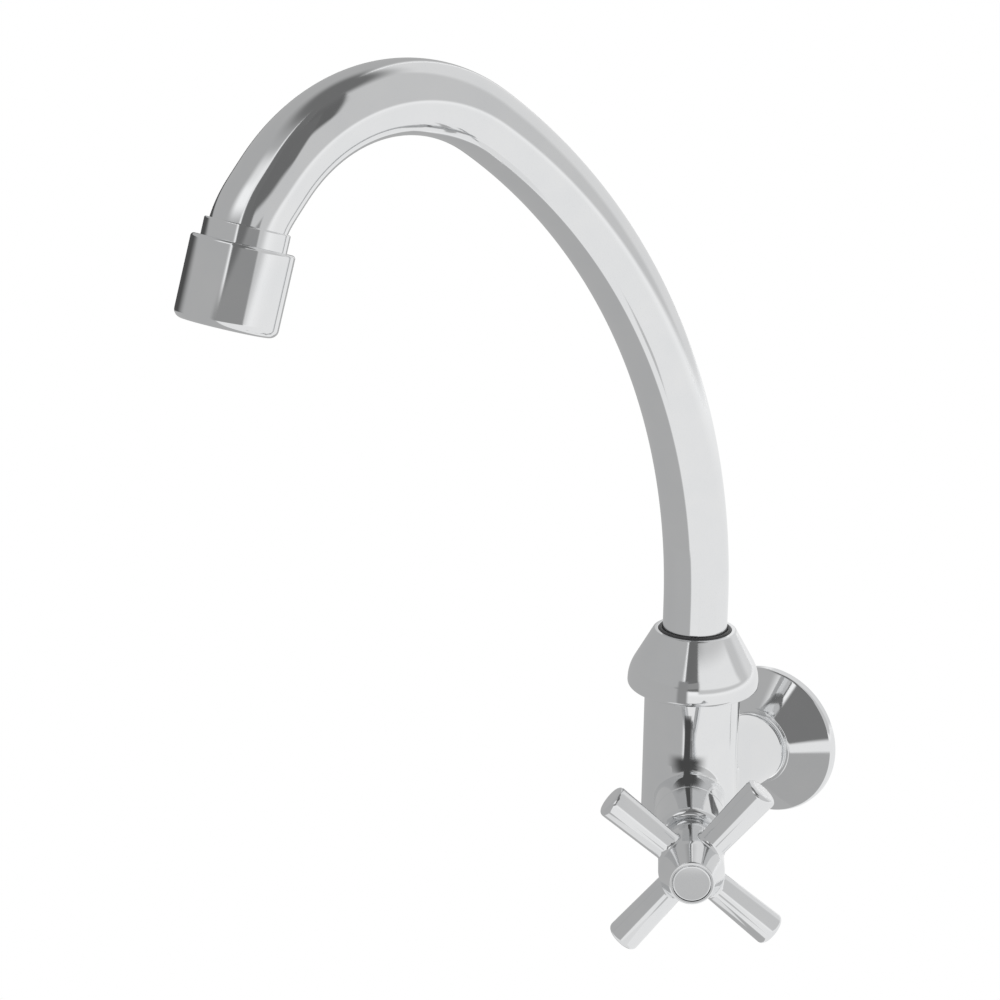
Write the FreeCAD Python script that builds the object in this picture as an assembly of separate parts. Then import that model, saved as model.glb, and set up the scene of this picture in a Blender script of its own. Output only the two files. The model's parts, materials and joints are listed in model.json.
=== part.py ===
import FreeCAD, Part
import math
import os

# Wall-mounted swan-neck faucet with a cross handle.
# Millimetres. The origin is on the inlet axis at the wall plane: +Y goes into the wall,
# +Z is up, and the faucet stands out from the wall along -Y.

# Layout of the three axes
body_reach = 50.5           # wall plane to the upright axis on which the spout turns
handle_angle = 31.0         # handle axis, degrees to the right of straight out
spout_swing = 17.4          # spout at rest, degrees to the left of straight out
handle_lean = 5.8           # cross at rest, degrees past the diagonals, against the clock

# Swan-neck spout: straight rise, long bow, tight crook, straight run and a last bend into the aerator
tube_od = 19.05
tube_wall = 1.0
spout_rise = 8.3
bow_radius = 170.7
bow_turn = 57.9
crook_radius = 48.3
crook_turn = 83.0
tip_straight = 6.8
nose_radius = 24.0
nose_turn = 23.0
nose_straight = 1.3         # last bend to the aerator's upper edge
tube_insert = 3.0           # tube's end beyond that edge

# Aerator on the spout's tip
aerator_od = 25.6
aerator_length = 20.6
aerator_edge = 0.8          # rounding of the housing's upper edge
aerator_lip = 2.1           # rounding of its lower edge
adapter_wall = 2.0          # threaded bush brazed on the tube's end
adapter_length = 9.5
adapter_rise = 4.5          # bush above the housing
adapter_collar = 1.05       # bush above the housing stands out from the tube
adapter_edge = 0.4
adapter_step = 0.3          # thread starts below the housing's upper edge
washer_thickness = 2.0
cartridge_flange = 1.5
cartridge_ledge = 1.2       # housing ledge that carries the cartridge
cartridge_plate = 1.4
cartridge_recess = 0.8      # outlet face above the housing's lower edge
jet_hole = 1.1              # radius of one outlet hole
jet_pitch = 2.9
screen_thickness = 0.5

# Spout swivel: ferrule on the tube, held down by the bell-shaped collar
ferrule_wall = 2.075
ferrule_flange = 3.0
ferrule_skirt = 20.0
ferrule_socket = 16.0
ferrule_end_gap = 1.5
swivel_washer = 1.2
guide_wall = 1.2
guide_flange = 1.6
guide_proud = 0.4           # guide ring's lip above the collar mouth
ring_section = 1.5          # diameter of a fitted sealing ring
ring_pitch = 3.3

# Collar
collar_roof = 6.0
collar_height = 18.0
collar_rim = 5.2
collar_wall = 6.0
collar_shoulder = 13.0      # rounding between the collar's cone and its rim
collar_foot = 1.6
mouth_lip = 1.4
mouth_edge = 0.6

# Cast body
neck_wall = 1.8
neck_step = 0.8             # shoulder on which the collar lands
body_floor = 4.5            # metal below the handle boss
body_bottom_round = 8.0
bore_floor = 10.35          # metal between valve chamber and spout bore
boss_wall = 2.2
boss_stand = 11.14          # boss face beyond the round column
boss_fillet = 3.0
inlet_passage = 6.0         # radius
seat_hole = 3.8             # radius
riser_hole = 3.2            # radius of the way from valve chamber to spout

# Inlet tail and wall flange, half-inch pipe thread
inlet_thread_od = 20.955
tail_od = 21.8              # smooth stretch between body and wall
inlet_thread_length = 15.0
tail_wall = 3.6
tail_spigot = 8.2           # radius of the spigot brazed into the body
tail_spigot_depth = 7.0
tail_chamfer = 1.0
flange_od = 47.4
flange_depth = 10.6
flange_rim = 2.6
flange_neck_od = 25.0
flange_wall = 1.0

# Quarter-turn ceramic headwork, three-eighths thread
headwork_thread_od = 16.66
headwork_thread_length = 10.0
barrel_od = 13.8
barrel_bore = 11.6
seat_offset = 4.5           # seat face, from the upright axis
chamber_gap = 1.1           # water space round the barrel
seat_seal_thickness = 1.2
disc_thickness = 2.5
disc_window_inner = 1.5
disc_window_outer = 4.3
disc_window_angle = 72.0
tongue_width = 3.0
tongue_depth = 1.2
tongue_gap = 2.4            # open space between moving disc and spindle collar
spindle_collar = 1.4
gasket_thickness = 1.0
headwork_flange = 1.5
hex_across = 16.0
hex_height = 5.0
headwork_neck_od = 12.4
headwork_neck = 8.0
spindle_od = 9.0
stem_od = 7.8
spline_teeth = 20
spline_depth = 0.5
clip_thickness = 0.8
clip_reach = 1.5

# Bonnet cover between body and handle
cover_wall = 1.0
cover_end_wall = 3.4
cover_proud = 0.9           # cover's end beyond the headwork's neck

# Cross handle
hub_gap = 1.5               # headwork's end to the hub's back
hub_back_r = 8.2
hub_r = 9.2
hub_face_r = 6.2
arm_plane = 13.8            # hub's back to the arms' axes
hub_front = 11.6            # arms' axes to the hub's face
arm_count = 4
arm_reach = 29.8
arm_root_d = 8.4
arm_tip_d = 9.6
arm_tip_round = 1.3
arm_fillet = 1.2            # where an arm leaves the hub
stem_socket = 10.0
hub_web = 2.2
cap_rim = 0.9
cap_thickness = 1.5
cap_plug = 4.0
screw_d = 4.0
screw_length = 12.0
screw_head_r = 3.6
screw_head = 2.6
screw_slot = 1.0

# Clearances
brazed = 0.0                # joined faces meet
screwed = 0.04              # thread flanks, drawn as plain cylinders
running = 0.06              # turning fits, radial
end_play = 0.05             # turning fits, along the axis
sliding = 0.25              # wall flange on the tail
water_gap = 0.3             # moving ceramic inside the barrel
hole_room = 0.1             # loose holes for screw and cap

# Sizes that follow, spout and swivel (heights from the inlet axis)
tube_r = tube_od / 2
tube_bore_r = tube_r - tube_wall
skirt_r = tube_r + ferrule_wall
spout_bore_r = skirt_r + running
neck_r = spout_bore_r + neck_wall
column_r = neck_r + neck_step
collar_bore_r = neck_r + screwed
collar_r = collar_bore_r + collar_wall
guide_bore_r = tube_r + running
guide_r = guide_bore_r + guide_wall
mouth_bore_r = guide_r + screwed
mouth_r = mouth_bore_r + mouth_lip
ferrule_flange_r = neck_r - water_gap

barrel_r = barrel_od / 2
chamber_r = barrel_r + chamber_gap
bore_floor_z = chamber_r + bore_floor
skirt_bottom_z = bore_floor_z + ferrule_end_gap
flange_bottom_z = skirt_bottom_z + ferrule_skirt
flange_top_z = flange_bottom_z + ferrule_flange
neck_top_z = flange_bottom_z - end_play - swivel_washer
guide_bottom_z = flange_top_z + end_play
collar_shoulder_z = guide_bottom_z + guide_flange
mouth_z = collar_shoulder_z + collar_roof
collar_bottom_z = mouth_z - collar_height
tube_bottom_z = flange_top_z - ferrule_socket

# Sizes that follow, headwork and handle (distances along the handle axis)
headwork_thread_r = headwork_thread_od / 2
boss_r = headwork_thread_r + boss_wall
boss_face = column_r + boss_stand
barrel_end = seat_offset + seat_seal_thickness
fixed_disc_face = barrel_end + disc_thickness
moving_disc_start = fixed_disc_face + end_play
moving_disc_face = moving_disc_start + disc_thickness
collar_start = moving_disc_face + tongue_gap
collar_end = collar_start + spindle_collar
barrel_floor = collar_end + end_play
headwork_flange_start = boss_face + gasket_thickness
hex_start = headwork_flange_start + headwork_flange
neck_start = hex_start + hex_height
neck_end = neck_start + headwork_neck
clip_start = neck_end + end_play
hub_back = neck_end + hub_gap
arm_axis = hub_back + arm_plane
hub_face = arm_axis + hub_front
stem_end = hub_back + stem_socket - end_play
screw_seat = hub_back + stem_socket + hub_web
hex_corner_r = hex_across / 2 / math.cos(math.radians(30))
cover_bore_r = hex_corner_r + sliding
cover_r = cover_bore_r + cover_wall
spindle_r = spindle_od / 2
stem_r = stem_od / 2
disc_r = barrel_bore / 2 - screwed
cap_r = hub_face_r - cap_rim
column_bottom_z = -(boss_r + body_floor)

# Sizes that follow, inlet
tail_r = tail_od / 2
inlet_thread_r = inlet_thread_od / 2
tail_bore_r = inlet_thread_r - tail_wall
spigot_end = column_r - tail_spigot_depth - body_reach

# Sizes that follow, aerator (distances down from the housing's upper edge)
adapter_r = tube_r + adapter_wall
washer_end = adapter_length + washer_thickness
ledge_at = washer_end + cartridge_flange
outlet_bore_r = tube_bore_r - tube_wall
housing_r = aerator_od / 2
shoulder_r = tube_r + adapter_collar
housing_bore_r = adapter_r + screwed
ledge_r = housing_bore_r - cartridge_ledge
cartridge_r = ledge_r - screwed


def vec(x, y, z):
    return FreeCAD.Vector(x, y, z)


def rounded_wire(corners):
    # Closed outline in the XZ plane. A corner is (x, z), or (x, z, radius) where it is rounded.
    points = [vec(c[0], 0, c[1]) for c in corners]
    radii = [c[2] if len(c) > 2 else 0.0 for c in corners]
    entries = []
    for i, point in enumerate(points):
        back = (points[i - 1] - point).normalize()
        ahead = (points[(i + 1) % len(points)] - point).normalize()
        if radii[i] == 0:
            entries.append((point, None, point))
            continue
        half = back.getAngle(ahead) / 2
        run = radii[i] / math.tan(half)
        bulge = radii[i] / math.sin(half) - radii[i]
        middle = point + (back + ahead).normalize() * bulge
        entries.append((point + back * run, middle, point + ahead * run))
    edges = []
    for i, (start, middle, end) in enumerate(entries):
        previous = entries[i - 1][2]
        if previous.distanceToPoint(start) > 1e-6:
            edges.append(Part.LineSegment(previous, start).toShape())
        if middle is not None:
            edges.append(Part.Arc(start, middle, end).toShape())
    return Part.Wire(edges)


def turned(corners):
    # Solid of revolution about Z from a closed (radius, height) outline.
    face = Part.Face(rounded_wire(corners))
    return face.revolve(vec(0, 0, 0), vec(0, 0, 1), 360)


def rod(radius, start, end):
    return Part.makeCylinder(radius, end - start, vec(0, 0, start))


def ring(inner, outer, start, end):
    return turned([(inner, start), (outer, start), (outer, end), (inner, end)])


def seal_ring(outer_r, height):
    # Round-section ring that touches a bore of outer_r.
    return Part.makeTorus(outer_r - ring_section / 2, ring_section / 2, vec(0, 0, height))


def prism(across, sides, start, end):
    corner = across / 2 / math.cos(math.pi / sides)
    turns = [2 * math.pi * i / sides for i in range(sides + 1)]
    outline = Part.makePolygon([vec(corner * math.cos(a), corner * math.sin(a), start) for a in turns])
    return Part.Face(outline).extrude(vec(0, 0, end - start))


def spun_copies(shape, count, first=0.0):
    # Evenly spaced copies round Z.
    copies = []
    for i in range(count):
        copy = shape.copy()
        copy.rotate(vec(0, 0, 0), vec(0, 0, 1), first + 360.0 * i / count)
        copies.append(copy)
    return copies


def at_upright_axis(shape):
    shape.translate(vec(0, -body_reach, 0))
    return shape


def along_inlet(shape):
    # Local Z becomes +Y, into the wall.
    shape.rotate(vec(0, 0, 0), vec(1, 0, 0), -90)
    return shape


def along_handle(shape):
    # Local Z points out along the handle axis, local Y stays up.
    shape.rotate(vec(0, 0, 0), vec(1, 0, 0), 90)
    shape.rotate(vec(0, 0, 0), vec(0, 0, 1), handle_angle)
    return at_upright_axis(shape)


def along_spout(shape):
    # Local X points the way the spout reaches out at rest.
    shape.rotate(vec(0, 0, 0), vec(0, 0, 1), -90 - spout_swing)
    return at_upright_axis(shape)


def straight_on(station, length):
    x, z, heading = station
    return (x + length * math.sin(heading), z + length * math.cos(heading), heading)


def bent_on(station, radius, degrees):
    x, z, heading = station
    after = heading + math.radians(degrees)
    shift_x = radius * (math.cos(heading) - math.cos(after))
    shift_z = radius * (math.sin(after) - math.sin(heading))
    return (x + shift_x, z + shift_z, after)


def spout_stations():
    # Joints of the spout's middle line in its own plane, as (x, z, heading from upright).
    start = (0.0, mouth_z + spout_rise, 0.0)
    bow_end = bent_on(start, bow_radius, bow_turn)
    crook_end = bent_on(bow_end, crook_radius, crook_turn)
    run_end = straight_on(crook_end, tip_straight)
    nose_end = bent_on(run_end, nose_radius, nose_turn)
    return {
        "start": start,
        "bow_end": bow_end,
        "crook_end": crook_end,
        "run_end": run_end,
        "nose_end": nose_end,
        "tip": straight_on(nose_end, nose_straight),
    }


def at_spout_tip(shape):
    # Local Z runs down the aerator's axis, from the housing's upper edge to the outlet.
    x, z, heading = spout_stations()["tip"]
    shape.rotate(vec(0, 0, 0), vec(0, 1, 0), math.degrees(heading))
    shape.translate(vec(x, 0, z))
    return along_spout(shape)


def bar_from(station, radius, length):
    x, z, heading = station
    bar = rod(radius, 0, length)
    bar.rotate(vec(0, 0, 0), vec(0, 1, 0), math.degrees(heading))
    bar.translate(vec(x, 0, z))
    return bar


def bend_from(station, radius, bend_radius, degrees):
    x, z, heading = station
    along = vec(math.sin(heading), 0, math.cos(heading))
    inward = vec(math.cos(heading), 0, -math.sin(heading))
    disc = Part.Face(Part.Wire(Part.makeCircle(radius, vec(x, 0, z), along)))
    return disc.revolve(vec(x, 0, z) + inward * bend_radius, vec(0, 1, 0), degrees)


def neck_stretches(radius):
    # Round bars of this radius along the spout's middle line, from its foot to its end in the aerator.
    stations = spout_stations()
    return [
        rod(radius, tube_bottom_z, stations["start"][1]),
        bend_from(stations["start"], radius, bow_radius, bow_turn),
        bend_from(stations["bow_end"], radius, crook_radius, crook_turn),
        bar_from(stations["crook_end"], radius, tip_straight),
        bend_from(stations["run_end"], radius, nose_radius, nose_turn),
        bar_from(stations["nose_end"], radius, nose_straight + tube_insert),
    ]


# Spout

def spout_tube():
    bars = zip(neck_stretches(tube_r), neck_stretches(tube_bore_r))
    walls = [bar.cut(bore) for bar, bore in bars]
    return along_spout(walls[0].fuse(walls[1:]))


def ring_heights():
    # Two sealing rings below the tube's socket.
    upper = tube_bottom_z - ring_pitch / 2
    return [upper, upper - ring_pitch]


def spout_ferrule():
    body = turned([
        (tube_bore_r, skirt_bottom_z),
        (skirt_r, skirt_bottom_z, ring_section / 2),
        (skirt_r, flange_bottom_z),
        (ferrule_flange_r, flange_bottom_z),
        (ferrule_flange_r, flange_top_z),
        (tube_r + brazed, flange_top_z),
        (tube_r + brazed, tube_bottom_z),
        (tube_bore_r, tube_bottom_z),
    ])
    groove_r = spout_bore_r - running - ring_section
    half = ring_section / 2 + end_play
    for height in ring_heights():
        body = body.cut(ring(groove_r, skirt_r + running, height - half, height + half))
    return at_upright_axis(body)


def spout_ring(index):
    return at_upright_axis(seal_ring(skirt_r, ring_heights()[index]))


def outlet_adapter():
    # Bush on the aerator's axis, with a socket that follows the tube's last bend.
    bush = turned([
        (0, -adapter_rise),
        (shoulder_r, -adapter_rise, adapter_edge),
        (shoulder_r, adapter_step),
        (adapter_r, adapter_step),
        (adapter_r, adapter_length),
        (0, adapter_length),
    ])
    bush = bush.cut(rod(outlet_bore_r, 0, adapter_length))
    bush = at_spout_tip(bush)
    for bar in neck_stretches(tube_r + brazed):
        bush = bush.cut(along_spout(bar))
    return bush


def aerator_housing():
    return at_spout_tip(turned([
        (housing_bore_r, 0),
        (housing_r, 0, aerator_edge),
        (housing_r, aerator_length, aerator_lip),
        (ledge_r, aerator_length),
        (ledge_r, ledge_at),
        (housing_bore_r, ledge_at),
    ]))


def aerator_gasket():
    return at_spout_tip(ring(outlet_bore_r, adapter_r, adapter_length, washer_end))


def jet_holes(radius, pitch, start, end):
    # One hole in the middle with rings of six and twelve round it.
    holes = [rod(radius, start, end)]
    for step, count in ((1, 6), (2, 12)):
        hole = rod(radius, start, end)
        hole.translate(vec(step * pitch, 0, 0))
        holes += spun_copies(hole, count)
    return holes


def aerator_screen():
    screen = rod(outlet_bore_r - sliding, washer_end - screen_thickness, washer_end)
    return at_spout_tip(screen.cut(jet_holes(jet_hole / 2, jet_pitch, 0, aerator_length)))


def aerator_cartridge():
    outlet = aerator_length - cartridge_recess
    cup_r = cartridge_r - tube_wall
    cup = rod(adapter_r, washer_end, ledge_at).fuse(rod(cartridge_r, ledge_at, outlet))
    cup = cup.cut(rod(cup_r, washer_end + cartridge_plate, outlet - cartridge_plate))
    return at_spout_tip(cup.cut(jet_holes(jet_hole, jet_pitch, 0, aerator_length)))


# Cast body and what is screwed to it

def cast_column():
    # Outer form of the column, without its boss.
    return at_upright_axis(turned([
        (0, column_bottom_z),
        (column_r, column_bottom_z, body_bottom_round),
        (column_r, collar_bottom_z),
        (neck_r, collar_bottom_z),
        (neck_r, neck_top_z),
        (0, neck_top_z),
    ]))


def is_boss_root(edge):
    # True for an edge on the boss's round side that lies short of its face.
    turn = math.radians(handle_angle)
    axis = vec(math.sin(turn), -math.cos(turn), 0)
    for point in edge.discretize(7):
        arm = point - vec(0, -body_reach, 0)
        along = arm.dot(axis)
        off = (arm - axis * along).Length
        if abs(off - boss_r) > end_play or along > boss_face - boss_wall:
            return False
    return True


def valve_body():
    boss = turned([(0, 0), (boss_r, 0), (boss_r, boss_face, boss_wall / 4), (0, boss_face)])
    body = cast_column().fuse(along_handle(boss))
    body = body.makeFillet(boss_fillet, [edge for edge in body.Edges if is_boss_root(edge)])
    body = body.cut(at_upright_axis(rod(spout_bore_r, bore_floor_z, neck_top_z)))
    riser = rod(riser_hole, 0, bore_floor_z)
    riser.translate(vec(seat_offset + riser_hole + end_play, 0, 0))
    riser.rotate(vec(0, 0, 0), vec(0, 0, 1), handle_angle - 90)
    body = body.cut(at_upright_axis(riser))
    thread_start = boss_face - headwork_thread_length
    body = body.cut(along_handle(rod(seat_hole, -seat_hole, seat_offset)))
    body = body.cut(along_handle(rod(chamber_r, seat_offset, thread_start)))
    body = body.cut(along_handle(rod(headwork_thread_r + screwed, thread_start, boss_face)))
    body = body.cut(along_inlet(rod(inlet_passage, -body_reach, 0)))
    return body.cut(along_inlet(rod(tail_spigot + brazed, spigot_end, 0)))


def inlet_tail():
    tail = turned([
        (0, -body_reach),
        (tail_r, -body_reach),
        (tail_r, 0),
        (inlet_thread_r, 0),
        (inlet_thread_r, inlet_thread_length - tail_chamfer),
        (inlet_thread_r - tail_chamfer, inlet_thread_length),
        (0, inlet_thread_length),
    ])
    tail = along_inlet(tail).cut(cast_column())
    tail = tail.fuse(along_inlet(rod(tail_spigot, spigot_end, 0)))
    return tail.cut(along_inlet(rod(tail_bore_r, spigot_end, inlet_thread_length)))


def wall_flange():
    rim_r = flange_od / 2
    neck_r = flange_neck_od / 2
    bore = tail_r + sliding
    round_out = flange_rim
    shell = turned([
        (bore, -flange_depth),
        (neck_r, -flange_depth, round_out),
        (rim_r, -flange_rim, round_out / 2),
        (rim_r, 0),
        (rim_r - flange_wall, 0),
        (rim_r - flange_wall, -flange_rim + flange_wall / 2),
        (neck_r - flange_wall / 2, flange_wall - flange_depth),
        (bore, flange_wall - flange_depth),
    ])
    return along_inlet(shell)


def spout_collar():
    cone_z = collar_bottom_z + collar_rim
    shell = turned([
        (collar_bore_r, collar_bottom_z),
        (collar_r, collar_bottom_z, collar_foot),
        (collar_r, cone_z, collar_shoulder),
        (mouth_r, mouth_z, mouth_edge),
        (mouth_bore_r, mouth_z),
        (mouth_bore_r, collar_shoulder_z),
        (collar_bore_r, collar_shoulder_z),
    ])
    return at_upright_axis(shell)


def collar_guide_ring():
    flange_r = collar_bore_r - screwed
    return at_upright_axis(turned([
        (guide_bore_r, guide_bottom_z),
        (flange_r, guide_bottom_z),
        (flange_r, collar_shoulder_z),
        (guide_r, collar_shoulder_z),
        (guide_r, mouth_z + guide_proud),
        (guide_bore_r, mouth_z + guide_proud),
    ]))


def thrust_washer():
    return at_upright_axis(ring(spout_bore_r, neck_r, neck_top_z, neck_top_z + swivel_washer))


# Headwork

def headwork_housing():
    thread_start = boss_face - headwork_thread_length
    body = turned([
        (0, barrel_end),
        (barrel_r, barrel_end),
        (barrel_r, thread_start),
        (headwork_thread_r, thread_start),
        (headwork_thread_r, headwork_flange_start),
        (hex_corner_r, headwork_flange_start),
        (hex_corner_r, hex_start),
        (headwork_neck_od / 2, hex_start),
        (headwork_neck_od / 2, neck_end),
        (0, neck_end),
    ])
    body = body.fuse(prism(hex_across, 6, hex_start, neck_start))
    body = body.cut(rod(barrel_bore / 2, barrel_end, barrel_floor))
    body = body.cut(rod(spindle_r + running, barrel_floor, neck_end))
    window = Part.makeBox(2 * barrel_od, barrel_r, tongue_gap)
    window.translate(vec(-barrel_od, -barrel_r / 2, moving_disc_face))
    return along_handle(body.cut(window))


def headwork_gasket():
    inner = headwork_thread_r + screwed
    return along_handle(ring(inner, hex_corner_r, boss_face, headwork_flange_start))


def seat_seal():
    return along_handle(ring(disc_window_outer, barrel_r, seat_offset, barrel_end))


def disc_windows(first, start, end):
    # Two facing windows, each a slice of a ring.
    size = end - start
    outer = Part.makeCylinder(disc_window_outer, size, vec(0, 0, start), vec(0, 0, 1), disc_window_angle)
    window = outer.cut(rod(disc_window_inner, start, end))
    return spun_copies(window, 2, first - disc_window_angle / 2)


def fixed_disc():
    disc = rod(disc_r, barrel_end, fixed_disc_face)
    return along_handle(disc.cut(disc_windows(0.0, barrel_end, fixed_disc_face)))


def moving_disc():
    disc = rod(barrel_bore / 2 - water_gap, moving_disc_start, moving_disc_face)
    disc = disc.cut(disc_windows(90.0, moving_disc_start, moving_disc_face))
    slot = Part.makeBox(barrel_bore, tongue_width + end_play, tongue_depth)
    slot.translate(vec(-barrel_bore / 2, -(tongue_width + end_play) / 2, moving_disc_face - tongue_depth))
    return along_handle(disc.cut(slot))


def stem_ring_places():
    # Two sealing rings on the spindle, inside the headwork's thread.
    first = barrel_floor + 2 * ring_section
    return [first, first + 2 * ring_pitch]


def spindle():
    stem_start = neck_end + clip_thickness + 2 * end_play
    bar = turned([
        (0, collar_start),
        (barrel_bore / 2 - water_gap, collar_start),
        (barrel_bore / 2 - water_gap, collar_end),
        (spindle_r, collar_end),
        (spindle_r, stem_start),
        (stem_r, stem_start),
        (stem_r, stem_end - spline_depth),
        (stem_r - spline_depth, stem_end),
        (0, stem_end),
    ])
    tongue = Part.makeBox(barrel_bore, tongue_width, tongue_gap + tongue_depth)
    tongue.translate(vec(-barrel_bore / 2, -tongue_width / 2, moving_disc_face - tongue_depth))
    bar = bar.fuse(tongue.common(rod(barrel_bore / 2 - water_gap, 0, collar_start)))
    half = ring_section / 2 + end_play
    for place in stem_ring_places():
        groove_r = spindle_r - ring_section
        bar = bar.cut(ring(groove_r, spindle_od, place - half, place + half))
    bar = bar.cut(ring(spindle_r - clip_reach / 2, spindle_od, clip_start, clip_start + clip_thickness))
    notch = Part.makeBox(spline_depth, spline_depth, stem_socket)
    notch.rotate(vec(0, 0, 0), vec(0, 0, 1), 45)
    notch.translate(vec(stem_r - spline_depth / 2, 0, hub_back))
    bar = bar.cut(spun_copies(notch, spline_teeth))
    return along_handle(bar.cut(rod(screw_d / 2 + screwed, screw_seat - screw_length, stem_end)))


def spindle_ring(index):
    return along_handle(seal_ring(spindle_r, stem_ring_places()[index]))


def spindle_clip():
    inner = spindle_r - clip_reach / 2
    clip = ring(inner, spindle_r + clip_reach / 2, clip_start, clip_start + clip_thickness)
    mouth = Part.makeBox(spindle_od, clip_reach, clip_thickness)
    mouth.translate(vec(0, -clip_reach / 2, clip_start))
    return along_handle(clip.cut(mouth))


def bonnet_cover():
    end = neck_end + cover_proud
    thread_r = headwork_neck_od / 2 + screwed
    return along_handle(turned([
        (cover_bore_r, boss_face),
        (cover_r, boss_face),
        (cover_r, end, 2 * cover_wall),
        (thread_r, end),
        (thread_r, end - cover_end_wall),
        (cover_bore_r, end - cover_end_wall),
    ]))


# Handle

def cross_handle():
    hub = turned([
        (0, hub_back),
        (hub_back_r, hub_back, cap_rim),
        (hub_r, arm_axis - arm_root_d / 2, hub_r),
        (hub_r, arm_axis + arm_root_d / 2, hub_r / 2),
        (hub_face_r, hub_face, cap_rim / 2),
        (0, hub_face),
    ])
    slope = (arm_tip_d - arm_root_d) / 2 / (arm_reach - hub_r)
    arm = turned([
        (0, 0),
        (arm_root_d / 2 - slope * hub_r, 0),
        (arm_tip_d / 2, arm_reach, arm_tip_round),
        (0, arm_reach),
    ])
    arm.rotate(vec(0, 0, 0), vec(0, 1, 0), 90)
    arm.translate(vec(0, 0, arm_axis))
    handle = hub.fuse(spun_copies(arm, arm_count, 180.0 / arm_count + handle_lean))
    roots = [edge for edge in handle.Edges if edge.Curve.TypeId == "Part::GeomBSplineCurve"]
    handle = handle.makeFillet(arm_fillet, roots)
    handle = handle.cut(rod(stem_r + screwed, hub_back, hub_back + stem_socket))
    handle = handle.cut(rod(screw_d / 2 + hole_room, hub_back, screw_seat))
    handle = handle.cut(rod(screw_head_r + hole_room, screw_seat, hub_face))
    return along_handle(handle.cut(rod(cap_r + hole_room, hub_face - cap_thickness, hub_face)))


def handle_cap():
    under = hub_face - cap_thickness
    return along_handle(turned([
        (0, under - cap_plug),
        (screw_head_r, under - cap_plug),
        (screw_head_r, under),
        (cap_r, under),
        (cap_r, hub_face, cap_rim / 3),
        (0, hub_face),
    ]))


def handle_screw():
    top = screw_seat + screw_head
    screw = turned([
        (0, screw_seat - screw_length + end_play),
        (screw_d / 2, screw_seat - screw_length + end_play),
        (screw_d / 2, screw_seat),
        (screw_head_r, screw_seat),
        (screw_head_r, top, screw_head / 2),
        (0, top),
    ])
    slot = Part.makeBox(2 * screw_head_r, screw_slot, screw_slot)
    slot.translate(vec(-screw_head_r, -screw_slot / 2, top - screw_slot))
    return along_handle(screw.cut(slot))


pieces = {
    "valve_body": valve_body(),
    "inlet_tail": inlet_tail(),
    "wall_flange": wall_flange(),
    "spout_collar": spout_collar(),
    "collar_guide_ring": collar_guide_ring(),
    "thrust_washer": thrust_washer(),
    "spout_tube": spout_tube(),
    "spout_ferrule": spout_ferrule(),
    "spout_ring_upper": spout_ring(0),
    "spout_ring_lower": spout_ring(1),
    "outlet_adapter": outlet_adapter(),
    "aerator_housing": aerator_housing(),
    "aerator_gasket": aerator_gasket(),
    "aerator_screen": aerator_screen(),
    "aerator_cartridge": aerator_cartridge(),
    "headwork_housing": headwork_housing(),
    "headwork_gasket": headwork_gasket(),
    "seat_seal": seat_seal(),
    "fixed_disc": fixed_disc(),
    "moving_disc": moving_disc(),
    "spindle": spindle(),
    "spindle_ring_inner": spindle_ring(0),
    "spindle_ring_outer": spindle_ring(1),
    "spindle_clip": spindle_clip(),
    "bonnet_cover": bonnet_cover(),
    "cross_handle": cross_handle(),
    "handle_cap": handle_cap(),
    "handle_screw": handle_screw(),
}

os.makedirs("parts", exist_ok=True)
for name, shape in pieces.items():
    box = shape.BoundBox
    print(name, len(shape.Solids), shape.isValid(), round(shape.Volume, 1),
          [round(v, 2) for v in (box.XMin, box.XMax, box.YMin, box.YMax, box.ZMin, box.ZMax)])
    shape.exportStep("parts/" + name + ".step")
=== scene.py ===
import json
import math
import bpy
import numpy as np
from mathutils import Matrix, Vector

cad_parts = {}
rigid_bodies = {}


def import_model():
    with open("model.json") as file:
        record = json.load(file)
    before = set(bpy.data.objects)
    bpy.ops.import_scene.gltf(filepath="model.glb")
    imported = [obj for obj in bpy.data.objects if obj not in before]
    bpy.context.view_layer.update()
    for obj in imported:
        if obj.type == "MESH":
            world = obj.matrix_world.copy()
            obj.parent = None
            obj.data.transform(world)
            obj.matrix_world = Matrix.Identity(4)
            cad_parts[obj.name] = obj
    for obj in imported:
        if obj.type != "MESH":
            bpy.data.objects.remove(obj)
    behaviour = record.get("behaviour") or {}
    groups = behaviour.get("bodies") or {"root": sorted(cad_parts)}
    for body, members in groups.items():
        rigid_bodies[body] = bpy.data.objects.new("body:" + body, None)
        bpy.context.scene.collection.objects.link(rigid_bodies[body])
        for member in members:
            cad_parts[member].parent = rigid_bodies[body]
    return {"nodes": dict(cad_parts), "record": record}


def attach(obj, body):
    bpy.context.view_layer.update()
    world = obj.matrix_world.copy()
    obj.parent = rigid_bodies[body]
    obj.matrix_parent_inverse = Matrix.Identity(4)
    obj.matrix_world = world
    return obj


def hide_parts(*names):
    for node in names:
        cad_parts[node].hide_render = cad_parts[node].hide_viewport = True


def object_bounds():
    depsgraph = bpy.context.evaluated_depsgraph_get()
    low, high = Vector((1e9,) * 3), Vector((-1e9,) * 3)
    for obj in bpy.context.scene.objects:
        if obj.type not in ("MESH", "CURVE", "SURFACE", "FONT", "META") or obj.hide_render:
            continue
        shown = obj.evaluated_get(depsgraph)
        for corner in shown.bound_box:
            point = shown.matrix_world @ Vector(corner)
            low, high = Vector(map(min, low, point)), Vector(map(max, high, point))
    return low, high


# Wall-mounted swan-neck faucet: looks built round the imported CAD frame.
# Sizes in the dictionaries are millimetres and degrees, meshes are metres.
# +X goes to the right when facing the wall, +Y into the wall, +Z up.

for leftover in list(bpy.data.objects):
    bpy.data.objects.remove(leftover)

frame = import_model()
cadLow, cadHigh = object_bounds()
print("frame loaded:", len(frame["nodes"]), "CAD nodes")

mm = 0.001
scene = bpy.context.scene

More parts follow.
